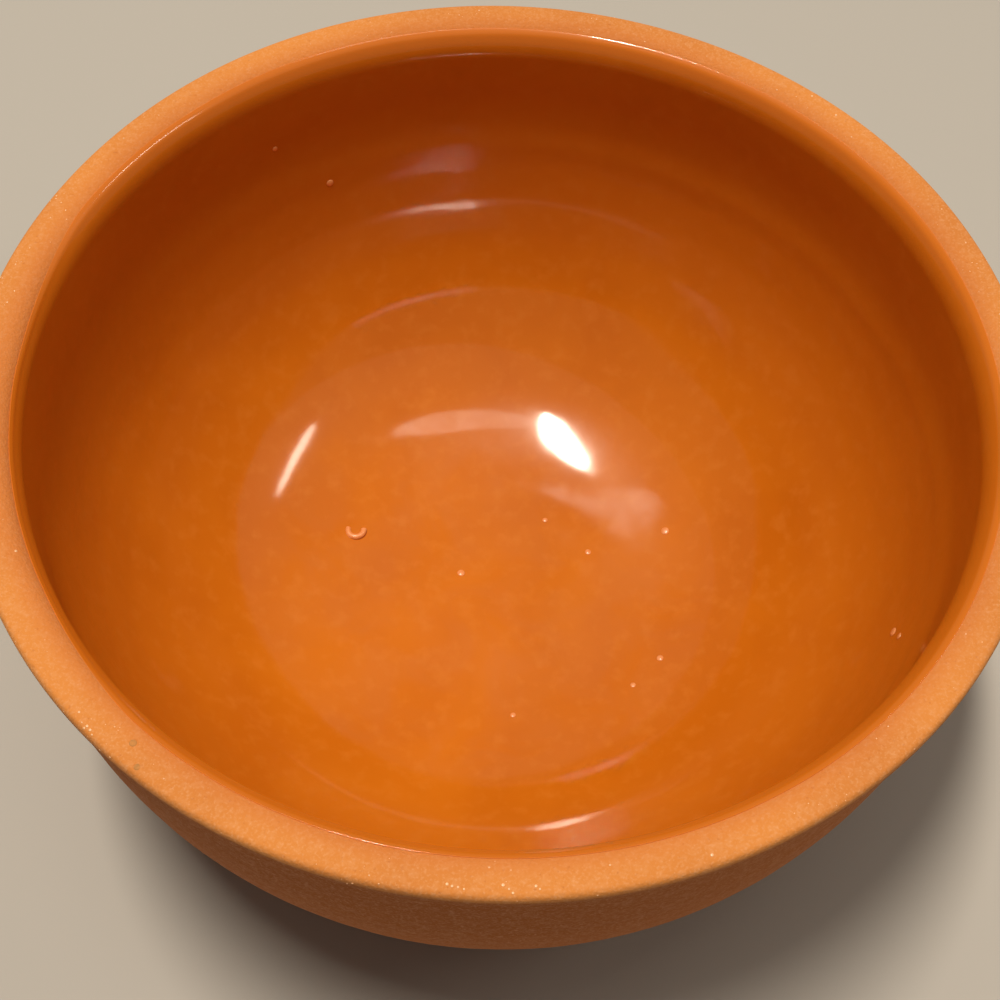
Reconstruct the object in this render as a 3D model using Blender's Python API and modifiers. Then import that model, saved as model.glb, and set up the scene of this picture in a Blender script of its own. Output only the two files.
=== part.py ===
"""Round terracotta pot with a rolled lip, and the glaze that lines its inside.

Both pieces are turned about +Z. The pot stands on its flat base at z = 0, with the base's
centre at the origin. All lengths are in metres.
"""
import math

import bpy

# Driving dimensions of the fired clay
RIM_DIAMETER = 0.210
POT_HEIGHT = 0.107
BASE_DIAMETER = 0.108
BASE_EDGE_RADIUS = 0.0025
FLOOR_THICKNESS = 0.009
HEEL_WIDTH = 0.0140
WALL_THICKNESS = 0.0058
STRAIGHT_WALL_DEPTH = 0.0265
LIP_HEIGHT = 0.0055
LIP_EDGE_DROP = 0.0024
LIP_EDGE_WIDTH = 0.0017
LIP_OVERHANG = 0.0026
LIP_ROLL_DEPTH = 0.0059

# Driving dimensions of the glaze
GLAZE_THICKNESS = 0.0005
GLAZE_CLEARANCE = 0.0003
GLAZE_STOP_DROP = 0.0015

# Fullness of the wall's curves: how far each end's tangent reaches along the curve's width or height
BELLY_TOP_PULL = 0.38
BELLY_BASE_PULL_OUT = 0.72
BELLY_BASE_PULL_UP = 0.16
HOLLOW_TOP_PULL = 0.50
HOLLOW_FLOOR_PULL = 0.53

# Facets round the pot, and along each stretch of its profile
TURN_STEPS = 64
WALL_STEPS = 12
ROLL_STEPS = 5
EDGE_STEPS = 3
MERGE_DISTANCE = 0.00001

# sRGB colours, read in sunless indoor light
CLAY_COLOUR = "#E0935A"
GLAZE_COLOUR = "#C86414"
CLAY_ROUGHNESS = 0.85
GLAZE_ROUGHNESS = 0.12

RIM_RADIUS = RIM_DIAMETER / 2
OUTER_WALL_RADIUS = RIM_RADIUS - LIP_OVERHANG
INNER_WALL_RADIUS = OUTER_WALL_RADIUS - WALL_THICKNESS
CREST_RADIUS = RIM_RADIUS - LIP_EDGE_WIDTH
STRAIGHT_WALL_FOOT = POT_HEIGHT - STRAIGHT_WALL_DEPTH


def linear_colour(hex_colour):
    """Turns an sRGB hex colour to the linear values that a shader takes."""
    channels = [int(hex_colour[i:i + 2], 16) / 255 for i in (1, 3, 5)]
    linear = [c / 12.92 if c <= 0.04045 else ((c + 0.055) / 1.055) ** 2.4 for c in channels]
    return (*linear, 1.0)


def make_material(name, hex_colour, roughness):
    material = bpy.data.materials.new(name)
    material.use_nodes = True
    shader = material.node_tree.nodes["Principled BSDF"]
    shader.inputs["Base Color"].default_value = linear_colour(hex_colour)
    shader.inputs["Roughness"].default_value = roughness
    shader.inputs["Metallic"].default_value = 0.0
    return material


def bezier(start, start_handle, end_handle, end, steps):
    """Points of a cubic curve in the (radius, height) plane, both ends included."""
    points = []
    for step in range(steps + 1):
        t = step / steps
        weights = ((1 - t) ** 3, 3 * t * (1 - t) ** 2, 3 * t * t * (1 - t), t ** 3)
        corners = (start, start_handle, end_handle, end)
        points.append(tuple(sum(w * c[axis] for w, c in zip(weights, corners)) for axis in (0, 1)))
    return points


def quarter_oval(centre, half_width, half_height, start, end, steps):
    """Points of an oval's arc, from one angle to another in radians, counted from the +radius side."""
    angles = [start + (end - start) * step / steps for step in range(steps + 1)]
    return [(centre[0] + half_width * math.cos(a), centre[1] + half_height * math.sin(a)) for a in angles]


def lip_roll(start, end, steps):
    """Arc of the lip's inner roll, between the inside wall and the lip's crest."""
    centre = (CREST_RADIUS, POT_HEIGHT - LIP_ROLL_DEPTH)
    return quarter_oval(centre, CREST_RADIUS - INNER_WALL_RADIUS, LIP_ROLL_DEPTH, start, end, steps)


def glaze_stop_angle():
    """Angle on the lip's inner roll at which the glaze ends."""
    return math.pi - math.asin(1 - GLAZE_STOP_DROP / LIP_ROLL_DEPTH)


def glazed_face():
    """Clay surface under the glaze, from the middle of the floor up to the glaze's edge on the lip."""
    floor_edge = (BASE_DIAMETER / 2 - HEEL_WIDTH, FLOOR_THICKNESS)
    wall_foot = (INNER_WALL_RADIUS, STRAIGHT_WALL_FOOT)
    width = wall_foot[0] - floor_edge[0]
    height = wall_foot[1] - floor_edge[1]
    floor_handle = (floor_edge[0] + HOLLOW_FLOOR_PULL * width, floor_edge[1])
    wall_handle = (wall_foot[0], wall_foot[1] - HOLLOW_TOP_PULL * height)
    hollow = bezier(floor_edge, floor_handle, wall_handle, wall_foot, WALL_STEPS)
    return [(0, FLOOR_THICKNESS)] + hollow + lip_roll(math.pi, glaze_stop_angle(), ROLL_STEPS)


def bare_lip():
    """Lip from the glaze's edge over the crest, down its outer edge and back under to the wall."""
    crest = lip_roll(glaze_stop_angle(), math.pi / 2, EDGE_STEPS)
    edge_centre = (CREST_RADIUS, POT_HEIGHT - LIP_EDGE_DROP)
    edge = quarter_oval(edge_centre, RIM_RADIUS - CREST_RADIUS, LIP_EDGE_DROP, math.pi / 2, 0, ROLL_STEPS)
    under_centre = (OUTER_WALL_RADIUS, edge_centre[1])
    under_height = LIP_HEIGHT - LIP_EDGE_DROP
    under = quarter_oval(under_centre, LIP_OVERHANG, under_height, 0, -math.pi / 2, EDGE_STEPS)
    return crest[1:] + edge[1:] + under[1:]


def outer_wall():
    """Outside from the straight wall down the belly, round the base's edge to the middle of the base."""
    wall_foot = (OUTER_WALL_RADIUS, STRAIGHT_WALL_FOOT)
    heel = (BASE_DIAMETER / 2, BASE_EDGE_RADIUS)
    width = wall_foot[0] - heel[0]
    height = wall_foot[1] - heel[1]
    wall_handle = (wall_foot[0], wall_foot[1] - BELLY_TOP_PULL * height)
    heel_handle = (heel[0] + BELLY_BASE_PULL_OUT * width, heel[1] + BELLY_BASE_PULL_UP * height)
    belly = bezier(wall_foot, wall_handle, heel_handle, heel, WALL_STEPS)
    edge_centre = (heel[0] - BASE_EDGE_RADIUS, BASE_EDGE_RADIUS)
    edge = quarter_oval(edge_centre, BASE_EDGE_RADIUS, BASE_EDGE_RADIUS, 0, -math.pi / 2, EDGE_STEPS)
    return belly + edge[1:] + [(0, 0)]


def raised(profile, distance):
    """Profile moved out from the clay by a distance, square to its surface at every point."""
    moved = []
    last = len(profile) - 1
    for i, (radius, height) in enumerate(profile):
        before = profile[max(i - 1, 0)]
        after = profile[min(i + 1, last)]
        normals = []
        for start, end in ((before, profile[i]), (profile[i], after)):
            length = math.dist(start, end)
            if length > 0:
                normals.append(((start[1] - end[1]) / length, (end[0] - start[0]) / length))
        mean = [sum(axis) / len(normals) for axis in zip(*normals)]
        stretch = distance / (mean[0] ** 2 + mean[1] ** 2)
        moved.append((radius + mean[0] * stretch if radius > 0 else 0, height + mean[1] * stretch))
    return moved


def glaze_profile():
    """Glaze from the middle of its face up to its rounded edge, then back down against the clay."""
    clay = glazed_face()
    back = raised(clay, GLAZE_CLEARANCE)
    face = raised(clay, GLAZE_CLEARANCE + GLAZE_THICKNESS)
    middle = raised(clay, GLAZE_CLEARANCE + GLAZE_THICKNESS / 2)
    run = math.dist(middle[-2], middle[-1])
    tip = tuple(m + (m - b) / run * GLAZE_THICKNESS / 2 for m, b in zip(middle[-1], middle[-2]))
    return face + [tip] + back[::-1]


def turn(name, profile, material, collection):
    """Makes a closed turned piece from a profile that starts and ends on the axis."""
    mesh = bpy.data.meshes.new(name)
    edges = [(i, i + 1) for i in range(len(profile) - 1)]
    mesh.from_pydata([(radius, 0, height) for radius, height in profile], edges, [])
    mesh.materials.append(material)
    piece = bpy.data.objects.new(name, mesh)
    collection.objects.link(piece)
    screw = piece.modifiers.new("Turn", "SCREW")
    screw.axis = "Z"
    screw.angle = math.tau
    screw.steps = TURN_STEPS
    screw.render_steps = TURN_STEPS
    screw.use_merge_vertices = True
    screw.merge_threshold = MERGE_DISTANCE
    screw.use_smooth_shade = True
    return piece


def main():
    for thing in list(bpy.data.objects):
        bpy.data.objects.remove(thing, do_unlink=True)
    collection = bpy.data.collections.new("terracotta_pot")
    bpy.context.scene.collection.children.link(collection)
    clay = make_material("bare_terracotta", CLAY_COLOUR, CLAY_ROUGHNESS)
    glaze = make_material("clear_glaze_on_terracotta", GLAZE_COLOUR, GLAZE_ROUGHNESS)
    turn("clay_pot", glazed_face() + bare_lip() + outer_wall(), clay, collection)
    turn("glaze_lining", glaze_profile(), glaze, collection)


main()
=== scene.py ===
"""Looks of a terracotta fondue pot: bare thrown clay outside, a glossy poured glaze inside.

The file is laid out as an add-on and is run as a script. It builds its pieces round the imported
model of the pot, in metres, with the pot standing on z = 0 at the origin.
"""

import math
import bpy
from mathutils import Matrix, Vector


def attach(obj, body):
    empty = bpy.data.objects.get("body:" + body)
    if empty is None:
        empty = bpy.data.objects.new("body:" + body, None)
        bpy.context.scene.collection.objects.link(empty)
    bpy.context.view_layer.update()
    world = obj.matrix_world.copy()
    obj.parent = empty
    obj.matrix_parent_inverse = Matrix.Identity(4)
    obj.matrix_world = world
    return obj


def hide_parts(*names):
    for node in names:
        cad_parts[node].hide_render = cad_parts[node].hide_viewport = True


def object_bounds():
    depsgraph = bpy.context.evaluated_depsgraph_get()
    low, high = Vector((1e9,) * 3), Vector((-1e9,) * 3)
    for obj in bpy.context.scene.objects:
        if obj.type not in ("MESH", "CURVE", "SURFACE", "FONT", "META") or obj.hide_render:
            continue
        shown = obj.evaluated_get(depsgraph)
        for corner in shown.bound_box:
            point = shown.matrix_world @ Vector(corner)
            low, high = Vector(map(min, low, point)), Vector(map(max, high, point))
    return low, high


bl_info = {
    "name": "Terracotta Fondue Pot",
    "version": (1, 0, 0),
    "blender": (4, 5, 0),
    "location": "View3D > Sidebar > Pot",
    "description": "Turns a terracotta pot, glazes its inside and sets it on a lit stage",
    "category": "Object",
}

import bpy
from bpy.props import FloatProperty, FloatVectorProperty, IntProperty, PointerProperty
from mathutils import Matrix, Quaternion, Vector

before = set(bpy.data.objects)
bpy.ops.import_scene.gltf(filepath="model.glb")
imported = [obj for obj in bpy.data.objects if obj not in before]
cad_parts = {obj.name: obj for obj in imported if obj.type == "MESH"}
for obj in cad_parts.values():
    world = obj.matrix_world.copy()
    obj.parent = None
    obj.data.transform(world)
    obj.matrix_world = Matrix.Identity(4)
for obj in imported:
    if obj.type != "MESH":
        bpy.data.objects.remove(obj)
CAD_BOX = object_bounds()

BODY = "root"
MILLIMETRE = 0.001
PICTURE_PIXELS = 1000
SENSOR_WIDTH = 36.0
NEAREST_VIEW = 0.01
STUDIO_RADIUS = 4.0

# Steps round the pot, and along each stretch of the profiles
SEGMENTS = 480
FLOOR_STEPS = 80
HOLLOW_STEPS = 120
INNER_WALL_STEPS = 40
EASING_STEPS = 320
BOWL_STEPS = 24
ROLL_STEPS = 8
EDGE_STEPS = 20
UNDER_STEPS = 10
WALL_STEPS = 14
BELLY_STEPS = 84
BASE_EDGE_STEPS = 6
BASE_STEPS = 8
GLAZE_STEPS = 122
GLAZE_ROLL_STEPS = 20
TIP_STEPS = 8

# Steps over which the throwing marks fade at the ends of the outside, and below the roll of the glaze
CLAY_RIDGE_FADE = 8
GLAZE_RIDGE_FADE = 24

# Fullness of the wall's curves: how far each end's tangent reaches along the curve's width or height
HOLLOW_FLOOR_PULL = 0.53
HOLLOW_TOP_PULL = 0.50
BELLY_TOP_PULL = 0.38
BELLY_BASE_PULL_OUT = 0.72
BELLY_BASE_PULL_UP = 0.16

# Share of the lip's outer edge over which the wiped lip's colour fades into the wall's darker colour, which
# is partly painted shade
LIP_FADE = 0.4

# On the roll: where the glaze's bead swells most, how far it spreads, and how close its back comes
BEAD_PLACE = 0.84
BEAD_SPREAD = 0.12
BACK_CLOSING = 0.98

# Cosines of the turn from the lowest place of the glaze's edge at which its sag ends and at which it is full
SAG_ENDS = 0.78
SAG_FULL = 0.97

# Width, depth and height of a grain, and the share of the glaze's edge from which clay counts as covered
GRAIN_SHAPE = (1.0, 0.8, 0.5)
COVERED = 0.999

# Long names of the nodes that are used most
SURFACE = "ShaderNodeBsdfPrincipled"
OUTPUT = "ShaderNodeOutputMaterial"
COORDINATES = "ShaderNodeTexCoord"
ATTRIBUTE = "ShaderNodeAttribute"
MATH = "ShaderNodeMath"
VECTOR_MATH = "ShaderNodeVectorMath"
NOISE = "ShaderNodeTexNoise"
RANGE = "ShaderNodeMapRange"
MIX = "ShaderNodeMix"
MOVE = "GeometryNodeSetPosition"
STORE = "GeometryNodeStoreNamedAttribute"
NAMED = "GeometryNodeInputNamedAttribute"
SAMPLE = "GeometryNodeSampleIndex"
ROTATE = "ShaderNodeVectorRotate"
RANDOM = "FunctionNodeRandomValue"
INSTANCE = "GeometryNodeInstanceOnPoints"

# What each point of a profile carries: its share of throwing marks, of the glaze's edge and of the bare lip
SHARES = ("ridge", "edge", "lip")

# Where the photograph shows single flaws, in pixels from its top left corner
CRESCENT = (356, 530)
BLISTERS = ((461, 573), (660, 658), (513, 715), (633, 685), (665, 531), (545, 520), (588, 552), (330, 183),
            (275, 149), (893, 632), (899, 636))
GLINTS = ((447, 884), (452, 886), (458, 887), (464, 889), (503, 885), (509, 889), (513, 893), (536, 886),
          (540, 889), (712, 855), (79, 712), (87, 726), (90, 730), (84, 728), (16, 551), (812, 96),
          (836, 115))
STAINS = ((133, 743), (137, 767))


def linear(hex_colour):
    """An sRGB hex colour as the linear red, green, blue and alpha that shaders take."""
    channels = [int(hex_colour[i:i + 2], 16) / 255 for i in (1, 3, 5)]
    values = [c / 12.92 if c <= 0.04045 else ((c + 0.055) / 1.055) ** 2.4 for c in channels]
    return (*values, 1.0)


def length(name, description, default):
    """A property that holds a real length in metres."""
    return FloatProperty(name=name, description=description, default=default, min=0.0, precision=5,
                         subtype="DISTANCE", unit="LENGTH")


def angle(name, description, degrees):
    """A property that holds an angle, given here in degrees."""
    return FloatProperty(name=name, description=description, default=math.radians(degrees),
                         subtype="ANGLE", unit="ROTATION")


def colour(name, description, hex_colour):
    """A property that holds a colour, given here as sRGB hex."""
    return FloatVectorProperty(name=name, description=description, default=linear(hex_colour), size=4,
                               min=0.0, max=1.0, subtype="COLOR")


def watts(name, description, default):
    """A property that holds a lamp's power."""
    return FloatProperty(name=name, description=description, default=default, min=0.0, unit="POWER")


class PotSizes(bpy.types.PropertyGroup):
    """Sizes of the clay and of the glaze on it."""
    rim_radius: length("Rim radius", "Half the width over the lip", (CAD_BOX[1].x - CAD_BOX[0].x) / 2)
    height: length("Height", "From the base to the lip's crest", CAD_BOX[1].z)
    base_radius: length("Base radius", "Half the width of the flat base", 0.054)
    base_edge: length("Base edge", "Rounding of the base's edge", 0.0025)
    floor: length("Floor", "Thickness of the floor", 0.009)
    heel: length("Heel", "How far the flat floor inside stops short of the base's edge", 0.0140)
    easing: length("Easing", "Distance over which the bend from floor to wall is softened", 0.026)
    wall: length("Wall", "Thickness of the wall", 0.0068)
    straight_wall: length("Straight wall", "Depth below the lip at which the belly begins", 0.0265)
    lip_height: length("Lip height", "From the lip's crest down to where it meets the wall", 0.0055)
    lip_edge_width: length("Lip edge width", "From the lip's crest out to its widest line", 0.0017)
    lip_edge_drop: length("Lip edge drop", "From the lip's crest down to its widest line", 0.0024)
    lip_overhang: length("Lip overhang", "How far the lip stands out past the wall", 0.0026)
    lip_roll: length("Lip roll", "Depth of the lip's inner roll", 0.0075)
    lip_fullness: FloatProperty(name="Lip fullness", description="More than 2 squares the lip's outer edge",
                                default=3.0)
    roll_fullness: FloatProperty(name="Roll fullness", description="More than 2 squares the lip's inner roll",
                                 default=2.8)
    glaze_stop: length("Glaze stop", "How far below the crest the glaze ends where it climbs highest", 0.0012)
    glaze_sag: length("Glaze sag", "How far below the crest the glaze ends where it climbs least", 0.0030)
    glaze_face: length("Glaze face", "From the clay to the face of the glaze", 0.0008)
    glaze_back: length("Glaze back", "From the clay to the back of the glaze", 0.0003)
    glaze_edge: length("Glaze edge", "Thickness to which the glaze thins on the lip", 0.00016)
    glaze_bead: length("Glaze bead", "How far the glaze swells again just before its edge", 0.00012)
    # Partly painted shade: the darker band past the glaze's edge is a glaze stain and also stands in for
    # shade on the lip's inner slope
    soak_and_shade: length("Soak", "How far past its edge the glaze has stained the clay", 0.0050)


class PotFinish(bpy.types.PropertyGroup):
    """Colours of the clay and the glaze, and the marks that the making left."""
    clay: colour("Clay", "Bare fired clay of the wiped lip", "#E1934A")
    # Partly painted shade: the wall's clay is darker than the lip's to stand in for the shade on the outside
    # wall, and partly the wall's own redder, unwiped clay
    clay_outside_and_shade: colour("Clay outside", "Bare fired clay of the wall", "#B8641F")
    # Partly painted shade: this darker colour on the lip's inner slope stands in for shade there as well as
    # for a glaze stain
    clay_soaked_and_shaded: colour("Stained clay", "Clay that has drunk a little glaze", "#D67C40")
    clay_sand: colour("Sand", "Pale sand in the clay", "#F8C698")
    clay_iron: colour("Iron", "Dark iron specks in the clay", "#B0602E")
    stain: colour("Stain", "Old stains on the lip", "#A07A48")
    glaze_deep: colour("Deep glaze", "Clay seen through thick glaze", "#BF640C")
    glaze: colour("Glaze", "Clay seen through the glaze", "#CE7415")
    # Painted shade: a darker glaze colour on the middle and upper wall, which stands in for the shade that
    # falls there
    glaze_wall_shade: colour("Glaze on the wall", "Clay seen through glaze that gathered on the wall", "#B45C0E")
    glaze_thin: colour("Thin glaze", "Clay seen through thin glaze", "#D6822F")
    glaze_lip: colour("Glaze on the lip", "Clay seen through the thinnest glaze", "#DA781E")
    blister: colour("Blister", "Burst bubble in the glaze", "#F6B27C")
    mica: colour("Mica", "Mica and quartz grains", "#F8CB9A")
    ridge_pitch: length("Ridge pitch", "Rise of the throwing ridge with each turn", 0.0052)
    ridge_depth: length("Ridge depth", "Half the height of the throwing ridges", 0.00005)
    glaze_ridge_pitch: length("Glaze ridge pitch", "Rise of the ridge that shows in the glaze", 0.0104)
    glaze_ridge_depth: length("Glaze ridge depth", "Half the height of the ridges in the glaze", 0.00003)
    clay_ripple: length("Clay ripple", "Width of the ripples in the clay", 0.006)
    glaze_ripple: length("Glaze ripple", "Width of the ripples in the glaze", 0.016)
    ripple_depth: length("Ripple depth", "Height of the ripples in the clay and the glaze", 0.00012)
    waver_size: length("Waver size", "Width of the slow wavers that make the pot less than round", 0.09)
    waver_depth: length("Waver depth", "How far the pot wavers from round", 0.0005)
    sag_bearing: angle("Sag bearing", "Where round the lip the glaze climbs least", 195)
    grain_size: length("Grain size", "Width of the largest mica grains", 0.00050)
    grain_spacing: length("Grain spacing", "Mean distance between mica grains", 0.0040)
    glint_size: length("Glint size", "Width of the largest of the single grains on the lip", 0.00060)
    glint_height: length("Glint height", "Thickness of the largest of the single grains", 0.00025)
    blister_size: length("Blister size", "Width of the largest blister in the glaze", 0.0021)
    blister_height: length("Blister height", "Thickness of the largest blister", 0.00063)
    stain_size: length("Stain size", "Width of the larger stain on the lip", 0.00147)
    stain_height: length("Stain height", "Thickness of the larger stain", 0.00021)
    crescent_size: length("Crescent size", "Width of the crescent that a large bubble left", 0.0050)
    seed: IntProperty(name="Seed", description="Picks the pattern of wavers and grains", default=7)


class PotStage(bpy.types.PropertyGroup):
    """Floor, lamps and camera."""
    floor: colour("Floor", "Pale studio floor", "#BDBCB8")
    fill: colour("Fill", "Soft light from all round", "#F4F1EC")
    fill_strength: FloatProperty(name="Fill strength", description="Strength of the soft light",
                                 default=0.04)
    backdrop_strength: FloatProperty(name="Backdrop strength", description="Brightness of the bare backdrop",
                                     default=0.12)
    lamp: colour("Lamp", "Light of the lamps", "#FFEFDA")
    lamp_distance: length("Lamp distance", "From the pot to the lamps", 2.0)
    strip: watts("Overhead strip", "Power of the strip overhead", 32.0)
    glow: watts("Overhead glow", "Power of the soft panel beside the strip", 2.8)
    spot: watts("Overhead spot", "Power of the small lamp behind the strip", 1.3)
    side: watts("Side strip", "Power of the strip at the side", 2.8)
    scrim: watts("Scrim", "Power of the wide scrim over everything", 11.5)
    camera_distance: length("Camera distance", "From the camera to the middle of the rim", 0.29825)
    camera_drop: length("Camera drop", "How far below the lip's crest the middle of the rim lies", 0.0038)
    camera_elevation: angle("Camera elevation", "Height of the camera above the rim's plane", 54.147)
    camera_pitch: angle("Camera pitch", "How far the view tips up from the middle of the rim", -4.568)
    camera_roll: angle("Camera roll", "How far the camera leans", 2.659)
    camera_lens: FloatProperty(name="Lens", description="Focal length in millimetres", default=54.0)


def add_node(tree, kind, inputs=None, **settings):
    """Adds a node, sets its properties, and fills or links its inputs by name or number."""
    made = tree.nodes.new(kind)
    for key, value in settings.items():
        setattr(made, key, value)
    for key, value in (inputs or {}).items():
        if isinstance(value, bpy.types.NodeSocket):
            tree.links.new(value, made.inputs[key])
        else:
            made.inputs[key].default_value = value
    return made.outputs


def scale_of(millimetres):
    """Texture scale that gives a pattern this size on Object coordinates in metres."""
    return 1.0 / (millimetres * MILLIMETRE)


# Profiles of the turned pieces


def bezier(start, start_handle, end_handle, end, steps):
    """Points of a cubic curve in the (radius, height) plane, both ends included."""
    points = []
    for step in range(steps + 1):
        t = step / steps
        weights = ((1 - t) ** 3, 3 * t * (1 - t) ** 2, 3 * t * t * (1 - t), t ** 3)
        corners = (start, start_handle, end_handle, end)
        points.append(Vector([sum(w * c[axis] for w, c in zip(weights, corners)) for axis in (0, 1)]))
    return points


def oval(centre, half_width, half_height, start, end, steps, fullness=2.0):
    """Points of an oval's arc between two angles in radians; more than 2 of fullness squares its shoulder."""
    points = []
    fine_steps = 4 * steps
    for step in range(fine_steps + 1):
        a = start + (end - start) * step / fine_steps
        way = [math.copysign(abs(part) ** (2 / fullness), part) for part in (math.cos(a), math.sin(a))]
        points.append(Vector((centre[0] + half_width * way[0], centre[1] + half_height * way[1])))
    return spaced(points, steps)


def line(start, end, steps):
    """Points from start to end, both included."""
    return [Vector(start).lerp(Vector(end), step / steps) for step in range(steps + 1)]


def smooth(value):
    """Rises from 0 to 1 with no corner at either end."""
    t = min(max(value, 0.0), 1.0)
    return t * t * (3 - 2 * t)


def spaced(points, steps):
    """Points spread evenly along a profile, with its ends kept."""
    reach = [0.0]
    for before, after in zip(points, points[1:]):
        reach.append(reach[-1] + (after - before).length)
    result = []
    i = 0
    for step in range(steps + 1):
        target = reach[-1] * step / steps
        while i < len(points) - 2 and reach[i + 1] < target:
            i += 1
        result.append(points[i].lerp(points[i + 1], (target - reach[i]) / (reach[i + 1] - reach[i])))
    return result


def eased(points, distance):
    """A profile whose bends are softened over a distance, as a potter's rib softens them."""
    widest = round(distance / (points[1] - points[0]).length)
    result = []
    for i in range(len(points)):
        reach = min(widest, i, len(points) - 1 - i)
        near = points[i - reach:i + reach + 1]
        result.append(sum(near, Vector((0, 0))) / len(near))
    return result


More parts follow.
